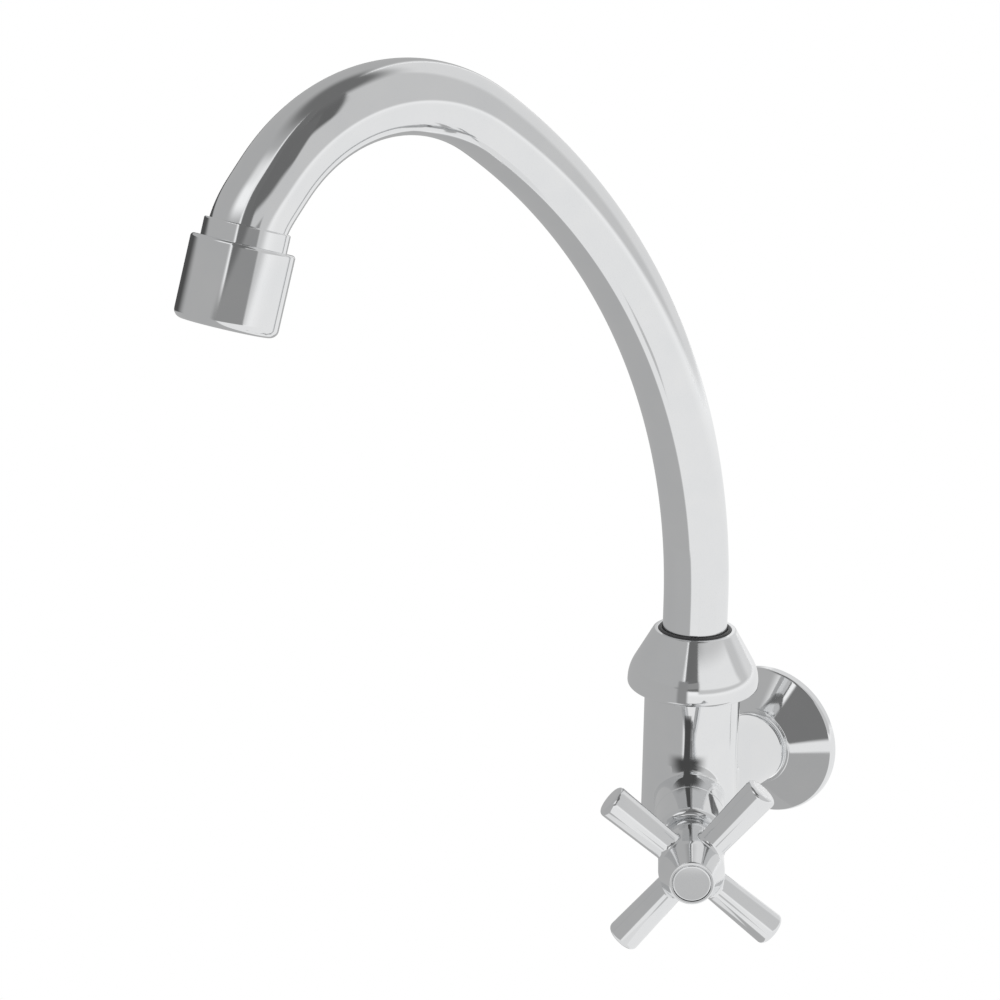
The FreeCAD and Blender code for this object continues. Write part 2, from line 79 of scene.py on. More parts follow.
# the faucet's axes, as the CAD has them
layout = {
    "bodyReach": 50.5,      # wall plane to the upright axis on which the spout turns
    "handleAngle": 31.0,    # handle axis, to the right of straight out
    "spoutSwing": 17.4,     # spout at rest, to the left of straight out
    "columnRadius": 14.26, "columnBottom": -15.03, "columnBottomRound": 8.0,
}


# surfaces on a grid

def turnAbout(axis, degrees):
    # 3 x 3 rotation about one of the axes x, y, z
    return np.array(Matrix.Rotation(math.radians(degrees), 3, axis))


def atUprightAxis(points):
    return points + np.array([0.0, -layout["bodyReach"], 0.0])


def alongInlet(points):
    # local z becomes +Y, into the wall
    return points @ turnAbout("X", -90).T


def alongHandle(points):
    # local z points out along the handle axis, local y stays up
    turn = turnAbout("Z", layout["handleAngle"]) @ turnAbout("X", 90)
    return atUprightAxis(points @ turn.T)


def alongSpout(points):
    # local x points the way the spout reaches out
    return atUprightAxis(points @ turnAbout("Z", -90 - layout["spoutSwing"]).T)


def smoothStep(share):
    # 3 t squared less 2 t cubed, of a share t held between 0 and 1
    t = np.clip(share, 0, 1)
    return t * t * (3 - 2 * t)


def roundedOutline(corners, closed=True, edgeRound=0.18, arcSteps=9, guard=0.15, leastRoom=0.003):
    # Outline through corners (radius, height, rounding). Each corner becomes an arc: its centre
    # lies on the corner's bisector, and it goes from one tangent point to the other as a weighted
    # sum of the two spokes. One more point a little way along each straight run keeps the shading
    # of flat stretches flat.
    points = np.array([c[:2] for c in corners], float)
    rounding = np.array([c[2] if len(c) > 2 else edgeRound for c in corners], float)
    back, ahead = np.roll(points, 1, 0) - points, np.roll(points, -1, 0) - points
    aheadLength = np.linalg.norm(ahead, axis=1)
    back /= np.linalg.norm(back, axis=1)[:, None]
    ahead /= aheadLength[:, None]
    half = np.arccos(np.clip((back * ahead).sum(1), -1, 1)) / 2
    run = rounding / np.tan(half)
    bisector = back + ahead
    bisector /= np.linalg.norm(bisector, axis=1)[:, None]
    centre = points + bisector * (rounding / np.sin(half))[:, None]
    spokeIn = points + back * run[:, None] - centre
    spokeOut = points + ahead * run[:, None] - centre
    sweep = (math.pi - 2 * half)[:, None, None]
    t = np.linspace(0, 1, arcSteps)[None, :, None]
    arc = np.sin((1 - t) * sweep) * spokeIn[:, None] + np.sin(t * sweep) * spokeOut[:, None]
    arc = centre[:, None] + arc / np.sin(sweep)
    room = np.clip(aheadLength - run - np.roll(run, -1), leastRoom, None)
    guardAhead = np.minimum(guard, room / 3)
    guardBack = np.roll(guardAhead, 1)
    before = points + back * (run + guardBack)[:, None]
    after = points + ahead * (run + guardAhead)[:, None]
    whole = np.concatenate([before[:, None], arc, after[:, None]], 1)
    if closed:
        return whole.reshape(-1, 2)
    return np.concatenate([points[:1], whole[1:-1].reshape(-1, 2), points[-1:]])


def revolved(outline, around):
    # Surface of revolution: point (r, h) of the outline at angle a goes to (r cos a, r sin a, h).
    angle = np.linspace(0, 2 * math.pi, around, endpoint=False)
    radius, height = outline[:, :1], outline[:, 1:]
    return np.stack([radius * np.cos(angle), radius * np.sin(angle), height + 0 * angle], -1)


def shellPoints(grid, closed):
    # Vertices of one shell: the whole grid where its rows close into a loop, or else the rows
    # between its two poles, and then the poles.
    if closed:
        return grid.reshape(-1, 3)
    return np.concatenate([grid[1:-1].reshape(-1, 3), grid[:1, 0], grid[-1:, 0]])


def shellFaces(grid, closed):
    # Faces of that shell, looking outwards: squares between neighbouring rows and columns, where
    # the columns go round, and a fan of triangles at each pole.
    turns = grid.shape[1]
    rows = grid.shape[0] if closed else grid.shape[0] - 2
    here = np.arange(rows * turns).reshape(rows, turns)
    beside = np.roll(here, -1, 1)
    if closed:
        quads = np.stack([here, beside, np.roll(beside, -1, 0), np.roll(here, -1, 0)], -1)
        fans = np.zeros((0, 3), int)
    else:
        quads = np.stack([here[:-1], beside[:-1], beside[1:], here[1:]], -1)
        low, high = np.full(turns, here.size), np.full(turns, here.size + 1)
        lowFan = np.stack([low, beside[0], here[0]], -1)
        highFan = np.stack([high, here[-1], beside[-1]], -1)
        fans = np.concatenate([lowFan, highFan])
    quads = quads.reshape(-1, 4)
    corners = shellPoints(grid, closed)[
        np.concatenate([quads[:, [0, 1, 2]], quads[:, [0, 2, 3]], fans])
    ]
    sixVolumes = np.einsum("ij,ij->", corners[:, 0], np.cross(corners[:, 1], corners[:, 2]))
    if sixVolumes < 0:
        quads, fans = quads[:, ::-1], fans[:, ::-1]
    return quads.tolist() + fans.tolist()


def makePiece(name, placed, local, body, slotName, material, *replaced, closed=True):
    # placed: the grid where the piece stands; local: the same grid in the piece's own straight
    # frame, for its finish; both in millimetres
    mesh = bpy.data.meshes.new(name)
    mesh.from_pydata((shellPoints(placed, closed) * mm).tolist(), [], shellFaces(placed, closed))
    workPlace = mesh.attributes.new("workPlace", "FLOAT_VECTOR", "POINT")
    workPlace.data.foreach_set("vector", shellPoints(local, closed).astype(np.float32).ravel())
    mesh.shade_smooth()
    mesh.materials.append(material)
    piece = bpy.data.objects.new(name, mesh)
    scene.collection.objects.link(piece)
    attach(piece, body)
    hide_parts(*replaced)
    print("piece", name, len(mesh.vertices), "vertices")


# shader node groups that several finishes share

def newGroup(name, inputs, outputs):
    group = bpy.data.node_groups.new(name, "ShaderNodeTree")
    for direction, sockets in (("INPUT", inputs), ("OUTPUT", outputs)):
        for label, kind in sockets.items():
            group.interface.new_socket(label, in_out=direction, socket_type="NodeSocket" + kind)
    return group, group.nodes.new("NodeGroupInput"), group.nodes.new("NodeGroupOutput")


def addNode(tree, kind, values=None, **settings):
    node = tree.nodes.new(kind)
    for key, value in settings.items():
        setattr(node, key, value)
    for key, value in (values or {}).items():
        node.inputs[key].default_value = value
    return node


def joinUp(tree, *pairs):
    for start, end in pairs:
        tree.links.new(start, end)


def buffedMarksGroup():
    # fine parallel marks left by a polishing wheel: noise stretched along one direction
    group, entry, leave = newGroup(
        "buffedMarks", {"Place": "Vector", "Stretch": "Vector"},
        {"Marks": "Float", "Height": "Float"},
    )
    coarseShare = 0.5       # the coarse noise counts half beside the fine
    stretched = addNode(group, "ShaderNodeVectorMath", operation="MULTIPLY")
    coarse = addNode(group, "ShaderNodeTexNoise", {"Scale": 1.0, "Detail": 3.0, "Roughness": 0.6})
    fine = addNode(group, "ShaderNodeTexNoise", {"Scale": 4.7, "Detail": 2.0, "Roughness": 0.5})
    both = addNode(group, "ShaderNodeMath", {1: coarseShare}, operation="MULTIPLY_ADD")
    marks = addNode(group, "ShaderNodeMapRange", {"From Min": 0.45, "From Max": 1.05})
    joinUp(
        group,
        (entry.outputs["Place"], stretched.inputs[0]),
        (entry.outputs["Stretch"], stretched.inputs[1]),
        (stretched.outputs[0], coarse.inputs["Vector"]),
        (stretched.outputs[0], fine.inputs["Vector"]),
        (coarse.outputs["Fac"], both.inputs[0]), (fine.outputs["Fac"], both.inputs[2]),
        (both.outputs[0], marks.inputs["Value"]), (marks.outputs["Result"], leave.inputs["Marks"]),
        (both.outputs[0], leave.inputs["Height"]),
    )
    return group


def driedWaterGroup():
    # faint haze and the rims of dried drops: the distance to scattered points, kept where it
    # equals the drop's radius, and only in some patches
    group, entry, leave = newGroup(
        "driedWater", {"Place": "Vector", "Drop Scale": "Float", "Haze Scale": "Float"},
        {"Haze": "Float", "Drops": "Float"},
    )
    dropRadius, rimWidth = 0.2, 0.035       # shares of the drops' spacing
    cells = addNode(group, "ShaderNodeTexVoronoi", {"Randomness": 1.0}, feature="F1")
    rim = addNode(group, "ShaderNodeMath", {1: dropRadius, 2: rimWidth}, operation="COMPARE")
    patch = addNode(group, "ShaderNodeTexNoise", {"Detail": 2.0})
    some = addNode(group, "ShaderNodeMapRange", {"From Min": 0.56, "From Max": 0.66})
    drops = addNode(group, "ShaderNodeMath", operation="MULTIPLY")
    haze = addNode(group, "ShaderNodeMapRange", {"From Min": 0.35, "From Max": 0.75})
    joinUp(
        group,
        (entry.outputs["Place"], cells.inputs["Vector"]),
        (entry.outputs["Drop Scale"], cells.inputs["Scale"]),
        (entry.outputs["Place"], patch.inputs["Vector"]),
        (entry.outputs["Haze Scale"], patch.inputs["Scale"]),
        (cells.outputs["Distance"], rim.inputs[0]), (patch.outputs["Fac"], some.inputs["Value"]),
        (rim.outputs[0], drops.inputs[0]), (some.outputs["Result"], drops.inputs[1]),
        (drops.outputs[0], leave.inputs["Drops"]),
        (patch.outputs["Fac"], haze.inputs["Value"]),
        (haze.outputs["Result"], leave.inputs["Haze"]),
    )
    return group


def mottledTintGroup():
    # slow change between two colours, and a much finer speckle
    group, entry, leave = newGroup(
        "mottledTint",
        {"Place": "Vector", "Scale": "Float", "Tint": "Color", "Other Tint": "Color"},
        {"Color": "Color", "Speckle": "Float"},
    )
    timesFiner = 14.0
    slow = addNode(group, "ShaderNodeTexNoise", {"Detail": 4.0, "Roughness": 0.6})
    spread = addNode(group, "ShaderNodeMapRange", {"From Min": 0.3, "From Max": 0.7})
    blend = addNode(group, "ShaderNodeMix", data_type="RGBA")
    closer = addNode(group, "ShaderNodeMath", {1: timesFiner}, operation="MULTIPLY")
    speckle = addNode(group, "ShaderNodeTexNoise", {"Detail": 2.0})
    joinUp(
        group,
        (entry.outputs["Place"], slow.inputs["Vector"]),
        (entry.outputs["Scale"], slow.inputs["Scale"]),
        (slow.outputs["Fac"], spread.inputs["Value"]),
        (spread.outputs["Result"], blend.inputs["Factor"]),
        (entry.outputs["Tint"], blend.inputs["A"]),
        (entry.outputs["Other Tint"], blend.inputs["B"]),
        (blend.outputs["Result"], leave.inputs["Color"]),
        (entry.outputs["Scale"], closer.inputs[0]), (closer.outputs[0], speckle.inputs["Scale"]),
        (entry.outputs["Place"], speckle.inputs["Vector"]),
        (speckle.outputs["Fac"], leave.inputs["Speckle"]),
    )
    return group


buffedMarks, driedWater = buffedMarksGroup(), driedWaterGroup()
mottledTint = mottledTintGroup()


# finishes

def useGroup(tree, group, values):
    return addNode(tree, "ShaderNodeGroup", values, node_tree=group)


def useTint(tree, look):
    return useGroup(tree, mottledTint, {
        "Scale": look["tintScale"], "Tint": look["tint"], "Other Tint": look["otherTint"],
    })


def newFinish(name):
    material = bpy.data.materials.new(name)
    material.use_nodes = True
    tree = material.node_tree
    return material, tree, tree.nodes["Principled BSDF"]


def placeSocket(tree, ownFrame):
    # place on the surface in millimetres: a piece's own straight frame, or a CAD node's Object
    # coordinates
    if ownFrame:
        return addNode(tree, "ShaderNodeAttribute", attribute_name="workPlace").outputs["Vector"]
    source = addNode(tree, "ShaderNodeTexCoord")
    scale = addNode(tree, "ShaderNodeVectorMath", {"Scale": 1 / mm}, operation="SCALE")
    tree.links.new(source.outputs["Object"], scale.inputs[0])
    return scale.outputs[0]


def metalFinish(name, look):
    # Metal whose roughness is the polish plus shares of its marks, haze and dried drops, and whose
    # tint drifts a little. The bump is slow waves in the surface with the marks on top.
    material, tree, shader = newFinish(name)
    place = placeSocket(tree, look["ownFrame"])
    marks = useGroup(tree, buffedMarks, {"Stretch": look["markStretch"]})
    water = useGroup(tree, driedWater, {
        "Drop Scale": look["dropScale"], "Haze Scale": look["hazeScale"],
    })
    tint = useTint(tree, look)
    shares = {1: look["markRough"], 2: look["rough"]}
    fromMarks = addNode(tree, "ShaderNodeMath", shares, operation="MULTIPLY_ADD")
    fromHaze = addNode(tree, "ShaderNodeMath", {1: look["hazeRough"]}, operation="MULTIPLY_ADD")
    fromDrops = addNode(tree, "ShaderNodeMath", {1: look["dropRough"]}, operation="MULTIPLY_ADD")
    markRelief = {"Strength": look["markBump"], "Distance": look["markDepth"] * mm}
    waveRelief = {"Strength": look["waveBump"], "Distance": look["waveDepth"] * mm}
    bump = addNode(tree, "ShaderNodeBump", markRelief)
    wave = addNode(tree, "ShaderNodeBump", waveRelief)
    peel = addNode(tree, "ShaderNodeTexNoise", {"Scale": look["waveScale"], "Detail": 1.0})
    for node in (marks, water, tint):
        tree.links.new(place, node.inputs["Place"])
    joinUp(
        tree,
        (marks.outputs["Marks"], fromMarks.inputs[0]), (water.outputs["Haze"], fromHaze.inputs[0]),
        (fromMarks.outputs[0], fromHaze.inputs[2]), (water.outputs["Drops"], fromDrops.inputs[0]),
        (fromHaze.outputs[0], fromDrops.inputs[2]),
        (fromDrops.outputs[0], shader.inputs["Roughness"]),
        (tint.outputs["Color"], shader.inputs["Base Color"]),
        (place, peel.inputs["Vector"]), (peel.outputs["Fac"], wave.inputs["Height"]),
        (marks.outputs["Height"], bump.inputs["Height"]),
        (wave.outputs["Normal"], bump.inputs["Normal"]),
        (bump.outputs["Normal"], shader.inputs["Normal"]),
    )
    shader.inputs["Metallic"].default_value = 1.0
    return material


def mouldedFinish(name, look):
    # plastic, rubber or ceramic: drifting tint, and a fine moulded or fired grain in roughness
    # and bump
    material, tree, shader = newFinish(name)
    place = placeSocket(tree, look["ownFrame"])
    tint = useTint(tree, look)
    roughRange = {"To Min": look["rough"], "To Max": look["roughMost"]}
    rough = addNode(tree, "ShaderNodeMapRange", roughRange)
    grain = {"Strength": look["grainBump"], "Distance": look["grainDepth"] * mm}
    bump = addNode(tree, "ShaderNodeBump", grain)
    joinUp(
        tree,
        (place, tint.inputs["Place"]), (tint.outputs["Color"], shader.inputs["Base Color"]),
        (tint.outputs["Speckle"], rough.inputs["Value"]),
        (rough.outputs["Result"], shader.inputs["Roughness"]),
        (tint.outputs["Speckle"], bump.inputs["Height"]),
        (bump.outputs["Normal"], shader.inputs["Normal"]),
    )
    shader.inputs["IOR"].default_value = look["ior"]
    return material


# scales are per millimetre; ownFrame is True for pieces made here and False for CAD nodes
chromeLook = {
    "ownFrame": True,
    "tint": (0.86, 0.865, 0.87, 1), "otherTint": (0.83, 0.84, 0.85, 1), "tintScale": 0.08,
    "rough": 0.035, "markRough": 0.03, "hazeRough": 0.02, "dropRough": 0.05,
    "dropScale": 0.11, "hazeScale": 0.045,
    "markStretch": (0.9, 0.9, 0.02),    # marks run along the piece's own z
    "markBump": 0.12, "markDepth": 0.002,
    "waveBump": 0.1, "waveDepth": 0.02, "waveScale": 0.12,
}
turnedChromeLook = {**chromeLook, "markStretch": (0.02, 0.02, 2.2), "markBump": 0.1}
castChromeLook = {
    **chromeLook, "ownFrame": False, "markStretch": (0.6, 0.6, 0.3),
    "waveBump": 0.2, "waveScale": 0.2,
}
brassLook = {
    **chromeLook, "ownFrame": False,
    "tint": (0.80, 0.60, 0.27, 1), "otherTint": (0.62, 0.43, 0.19, 1), "tintScale": 0.35,
    "rough": 0.2, "markRough": 0.15, "hazeRough": 0.1,
    "markStretch": (3.0, 3.0, 3.0), "markBump": 0.5,
}
steelLook = {
    **chromeLook, "ownFrame": False,
    "tint": (0.62, 0.62, 0.61, 1), "otherTint": (0.52, 0.52, 0.52, 1), "tintScale": 0.5,
    "rough": 0.22, "markRough": 0.2, "markStretch": (0.3, 5.0, 5.0), "markBump": 0.6,
}
rubberLook = {
    "ownFrame": False,
    "tint": (0.022, 0.022, 0.023, 1), "otherTint": (0.04, 0.04, 0.041, 1), "tintScale": 0.4,
    "rough": 0.5, "roughMost": 0.75, "grainBump": 0.3, "grainDepth": 0.05, "ior": 1.5,
}
ceramicLook = {
    **rubberLook,
    "tint": (0.82, 0.81, 0.78, 1), "otherTint": (0.74, 0.73, 0.70, 1), "tintScale": 0.8,
    "rough": 0.12, "roughMost": 0.25, "grainBump": 0.05, "ior": 1.7,
}
whitePlasticLook = {
    **rubberLook,
    "tint": (0.78, 0.78, 0.76, 1), "otherTint": (0.70, 0.70, 0.68, 1), "tintScale": 0.5,
    "rough": 0.28, "roughMost": 0.42, "grainBump": 0.12,
}
blackPlasticLook = {
    **rubberLook, "ownFrame": True,
    "tint": (0.018, 0.018, 0.019, 1), "otherTint": (0.03, 0.03, 0.031, 1), "tintScale": 0.5,
    "rough": 0.3, "roughMost": 0.45, "grainBump": 0.15,
}
chromeDrawn = metalFinish("chromeDrawn", chromeLook)
chromeTurned = metalFinish("chromeTurned", turnedChromeLook)
chromeCast = metalFinish("chromeCast", castChromeLook)
brassMachined = metalFinish("brassMachined", brassLook)
steelBrushed = metalFinish("steelBrushed", steelLook)
rubberBlack = mouldedFinish("rubberBlack", rubberLook)
ceramicWhite = mouldedFinish("ceramicWhite", ceramicLook)
plasticWhite = mouldedFinish("plasticWhite", whitePlasticLook)
plasticBlack = mouldedFinish("plasticBlack", blackPlasticLook)
print("finishes made")

# every CAD node gets the finish of its slot; pieces below replace some of them, among these the
# only node in black_plastic
slotFinish = {
    "chrome": chromeCast, "brass": brassMachined, "steel": steelBrushed, "rubber": rubberBlack,
    "ceramic": ceramicWhite, "white_plastic": plasticWhite, "black_plastic": rubberBlack,
}
for subpart in frame["record"]["subparts"]:
    node = frame["nodes"][subpart["node"]]
    node.data.materials.clear()
    node.data.materials.append(slotFinish[subpart["material_slot"]])
print("CAD nodes finished")


# spout

spoutTube = {
    "radius": 9.525, "boreRadius": 8.525,
    "bottom": 26.85,            # tube's foot inside the ferrule, above the inlet axis
    "bowStart": 58.8,
    "bowRadius": 170.7, "bowTurn": 57.9,
    "crookRadius": 48.3, "crookTurn": 83.0,
    "tipStraight": 6.8,
    "noseRadius": 24.0, "noseTurn": 23.0, "noseStraight": 1.3,     # last bend, into the aerator
    "insideAerator": 3.0,       # tube's end beyond the aerator's upper edge
    "easing": 6.0,              # length over which one bend runs into the next
    "steps": 420, "around": 112,
    "fineSteps": 4000,          # for the place of the aerator alone
}


def spoutPath(steps):
    # Middle line of the swan neck in its own plane. Its curvature is a sum of eased steps, its
    # heading the running sum of the curvature, and its place the running sum of (sin heading,
    # cos heading).
    size = spoutTube
    bow = math.radians(size["bowTurn"]) * size["bowRadius"]
    crook = math.radians(size["crookTurn"]) * size["crookRadius"]
    nose = math.radians(size["noseTurn"]) * size["noseRadius"]
    bowAt = size["bowStart"] - size["bottom"]
    crookAt = bowAt + bow
    runAt = crookAt + crook
    noseAt = runAt + size["tipStraight"]
    whole = noseAt + nose + size["noseStraight"] + size["insideAerator"]
    way = np.linspace(0, whole, steps)

    def easedFrom(at):
        return smoothStep((way - at) / size["easing"] + 0.5)

    def runningSum(values):
        return np.concatenate([[0.0], np.cumsum((values[1:] + values[:-1]) / 2 * np.diff(way))])

    bend = (
        easedFrom(bowAt) / size["bowRadius"]
        + easedFrom(crookAt) * (1 / size["crookRadius"] - 1 / size["bowRadius"])
        - easedFrom(runAt) / size["crookRadius"]
        + (easedFrom(noseAt) - easedFrom(noseAt + nose)) / size["noseRadius"]
    )
    heading = runningSum(bend)
    x, z = runningSum(np.sin(heading)), size["bottom"] + runningSum(np.cos(heading))
    return way, x, z, heading


def spoutTipPlace(points):
    # local z runs down the aerator's axis, from its upper edge to the outlet
    way, x, z, heading = spoutPath(spoutTube["fineSteps"])
    edge = way[-1] - spoutTube["insideAerator"]
    turned = points @ turnAbout("Y", math.degrees(heading[-1])).T
    return alongSpout(turned + np.array([np.interp(edge, way, x), 0.0, np.interp(edge, way, z)]))


def tubeGrid(radius):
    # A circle carried along the path: centre + radius (cos a inward + sin a sideways).
    way, x, z, heading = spoutPath(spoutTube["steps"])
    angle = np.linspace(0, 2 * math.pi, spoutTube["around"], endpoint=False)
    inward = np.stack([np.cos(heading), 0 * heading, -np.sin(heading)], -1)[:, None]
    sideways = np.array([0.0, 1.0, 0.0])
    ringOut = np.cos(angle)[None, :, None] * inward + np.sin(angle)[None, :, None] * sideways
    placed = np.stack([x, 0 * x, z], -1)[:, None] + radius * ringOut
    straight = [radius * np.cos(angle), radius * np.sin(angle), way[:, None]]
    return placed, np.stack(np.broadcast_arrays(*straight), -1)


outer, outerStraight = tubeGrid(spoutTube["radius"])
inner, innerStraight = tubeGrid(spoutTube["boreRadius"])
tube = alongSpout(np.concatenate([outer, inner[::-1]]))
tubeStraight = np.concatenate([outerStraight, innerStraight[::-1]])
makePiece("spoutTube", tube, tubeStraight, "spout", "chrome", chromeDrawn, "spout_tube")

aerator = {
    "radius": 12.8, "length": 20.6, "upperRound": 0.8, "lowerRound": 2.1,
    "bore": 11.565, "ledge": 10.365, "ledgeAt": 13.0, "around": 128,
}
sleeve = revolved(roundedOutline([
    (aerator["bore"], 0.0),
    (aerator["radius"], 0.0, aerator["upperRound"]),
    (aerator["radius"], aerator["length"], aerator["lowerRound"]),
    (aerator["ledge"], aerator["length"]),
    (aerator["ledge"], aerator["ledgeAt"]),
    (aerator["bore"], aerator["ledgeAt"]),
]), aerator["around"])
makePiece(
    "aeratorSleeve", spoutTipPlace(sleeve), sleeve, "spout", "chrome", chromeTurned,
    "aerator_housing",
)
print("spout made")


# collar

collar = {
    "bore": 13.5, "radius": 19.5, "rim": 5.2, "bottom": 32.5, "mouth": 50.5,
    "mouthRadius": 12.225, "mouthBore": 10.825, "mouthRound": 0.6,
    "shoulder": 44.5, "shoulderRound": 13.0, "footRound": 1.6, "around": 128,
}
bell = revolved(roundedOutline([
    (collar["bore"], collar["bottom"]),
    (collar["radius"], collar["bottom"], collar["footRound"]),
    (collar["radius"], collar["bottom"] + collar["rim"], collar["shoulderRound"]),
    (collar["mouthRadius"], collar["mouth"], collar["mouthRound"]),
    (collar["mouthBore"], collar["mouth"]),
    (collar["mouthBore"], collar["shoulder"]),
    (collar["bore"], collar["shoulder"]),
]), collar["around"])
makePiece(
    "spoutCollar", atUprightAxis(bell), bell, "body", "chrome", chromeTurned, "spout_collar",
)

guideRing = {
    "bore": 9.585, "radius": 10.785, "flange": 13.46,
    "bottom": 42.9, "shoulder": 44.5, "top": 50.9, "lipRound": 0.5, "around": 96,
}
guide = revolved(roundedOutline([
    (guideRing["bore"], guideRing["bottom"]),
    (guideRing["flange"], guideRing["bottom"]),
    (guideRing["flange"], guideRing["shoulder"]),
    (guideRing["radius"], guideRing["shoulder"]),
    (guideRing["radius"], guideRing["top"], guideRing["lipRound"]),
    (guideRing["bore"], guideRing["top"], guideRing["lipRound"]),
]), guideRing["around"])
makePiece(
    "guideRing", atUprightAxis(guide), guide, "body", "black_plastic", plasticBlack,
    "collar_guide_ring",
)
print("collar made")


# inlet

inletTail = {
    "radius": 10.9, "bore": 6.8775, "around": 144,
    "inside": -43.24, "insideWall": 1.0,        # inner end, inside the body, and its wall there
    "brazeFillet": 1.4, "filletRows": 9,
    "filletSunk": 0.02,         # how far the fillet's foot lies inside the body
    "slopeStep": 0.05,          # step for the slope of the body's side under that foot
    "stepRows": (-0.5, -0.15, 0.0, 0.12),       # rows at the small step down to the thread
    "threadRadius": 10.4775, "threadDepth": 1.16, "pitch": 1.814,
    "threadStart": 0.3, "threadEnd": 15.0, "threadRows": 190,
    "fadeStart": 0.6, "runOut": 2.4,            # the grooves deepen from here, over this length
    "chamfer": 1.0, "endInset": 0.3,
    "mouthEdge": 0.2,           # a row this far inside keeps the bore's edge sharp
}


def columnReach(across, height, nearEdge=0.999, leastSquare=0.01):
    # Distance from the upright axis to the body's side, at a place this far across and this high:
    # the root of the body's radius there squared less the place across squared.
    bottomRound = layout["columnBottomRound"]
    below = np.clip(layout["columnBottom"] + bottomRound - height, 0, bottomRound * nearEdge)
    radius = layout["columnRadius"] - bottomRound + np.sqrt(bottomRound ** 2 - below ** 2)
    return np.sqrt(np.clip(radius ** 2 - across ** 2, leastSquare, None))


def inletTailGrid():
    # Rows along the tail, columns round it. The first rows are a concave fillet on the round body:
    # a curve with three control points, the foot on the body, the corner where the body's tangent
    # meets the tail, and the tail itself. Then the tail is straight, and the thread is radius -
    # depth (1 - cos) / 2 of the place along it less the turn.
    size = inletTail
    angle = np.linspace(0, 2 * math.pi, size["around"], endpoint=False)
    across, up = np.cos(angle), np.sin(angle)
    fillet, wall = size["brazeFillet"], -layout["bodyReach"]
    footRadius = size["radius"] + fillet
    nearRadius = footRadius - size["slopeStep"]
    footReach = columnReach(footRadius * across, footRadius * up)
    nearReach = columnReach(nearRadius * across, nearRadius * up)
    cornerReach = footReach - (footReach - nearReach) / size["slopeStep"] * fillet
    t = np.linspace(0, 1, size["filletRows"])[:, None]
    first, second, third = (1 - t) ** 2, 2 * t * (1 - t), t ** 2
    filletRadius = footRadius * first + size["radius"] * (second + third)
    filletPlace = footReach * first + cornerReach * second + (cornerReach + fillet) * third

    threadPlace = np.linspace(size["threadStart"], size["threadEnd"], size["threadRows"])
    along = np.concatenate([size["stepRows"], threadPlace])[:, None]
    phase = 2 * math.pi * along / size["pitch"] - angle
    fade = np.clip((along - size["fadeStart"]) / size["runOut"], 0, 1)
    thread = size["threadRadius"] - size["threadDepth"] * fade * (1 - np.cos(phase)) / 2
    chamfer = np.clip(along - size["threadEnd"] + size["chamfer"], 0, None)
    thread = np.minimum(thread, size["threadRadius"] - chamfer)
    thread = np.where(along < 0, size["radius"], thread)

    endRadius = size["threadRadius"] - size["threadDepth"] - size["endInset"]
    even = np.zeros((1, angle.size))        # a row that is the same all round
    end, bore = even + size["threadEnd"], even + size["bore"]
    inside = even + size["inside"]
    radius = np.concatenate([
        bore + size["insideWall"], filletRadius + even, thread, even + endRadius, bore, bore, bore,
    ])
    place = np.concatenate([
        inside, wall + filletPlace - size["filletSunk"], along + even,
        end, end, end - size["mouthEdge"], inside,
    ])
    return np.stack([radius * across, -radius * up, place], -1)


tail = inletTailGrid()
makePiece("inletTail", alongInlet(tail), tail, "body", "chrome", chromeTurned, "inlet_tail")

wallFlange = {
    "rimRadius": 23.7, "neckRadius": 12.5, "bore": 11.15, "depth": 10.6, "rim": 2.6, "wall": 1.0,
    "neckRound": 2.6, "rimRound": 1.3, "around": 160,
}
neckAt, rimAt, wall = -wallFlange["depth"], -wallFlange["rim"], wallFlange["wall"]
dish = revolved(roundedOutline([
    (wallFlange["bore"], neckAt),
    (wallFlange["neckRadius"], neckAt, wallFlange["neckRound"]),
    (wallFlange["rimRadius"], rimAt, wallFlange["rimRound"]),
    (wallFlange["rimRadius"], 0.0),
    (wallFlange["rimRadius"] - wall, 0.0),
    (wallFlange["rimRadius"] - wall, rimAt + wall / 2),
    (wallFlange["neckRadius"] - wall / 2, neckAt + wall),
    (wallFlange["bore"], neckAt + wall),
]), wallFlange["around"])
makePiece("wallFlange", alongInlet(dish), dish, "flange", "chrome", chromeTurned, "wall_flange")
print("inlet made")


# headwork cover and handle cap

bonnet = {
    "bore": 9.4876, "radius": 10.4876, "start": 25.4, "startRound": 0.3,
    "end": 41.8, "endRound": 2.0, "endWall": 3.4, "neckBore": 6.24, "around": 96,
}
endInside = bonnet["end"] - bonnet["endWall"]
cover = revolved(roundedOutline([
    (bonnet["bore"], bonnet["start"]),
    (bonnet["radius"], bonnet["start"], bonnet["startRound"]),
    (bonnet["radius"], bonnet["end"], bonnet["endRound"]),
    (bonnet["neckBore"], bonnet["end"]),
    (bonnet["neckBore"], endInside),
    (bonnet["bore"], endInside),
]), bonnet["around"])
makePiece("bonnetCover", alongHandle(cover), cover, "body", "chrome", chromeTurned, "bonnet_cover")

handleCap = {
    "radius": 5.3, "face": 67.8, "thickness": 1.5, "edgeRound": 0.4,
    "plugRadius": 3.6, "plug": 4.0, "around": 96,
}
capBack = handleCap["face"] - handleCap["thickness"]
plugEnd = capBack - handleCap["plug"]
cap = revolved(roundedOutline([
    (0.0, plugEnd),
    (handleCap["plugRadius"], plugEnd),
    (handleCap["plugRadius"], capBack),
    (handleCap["radius"], capBack),
    (handleCap["radius"], handleCap["face"], handleCap["edgeRound"]),
    (0.0, handleCap["face"]),
], closed=False), handleCap["around"])
makePiece(
    "handleCap", alongHandle(cap), cap, "handle", "chrome", chromeTurned, "handle_cap",
    closed=False,
)
print("headwork cover and handle cap made")


# studio

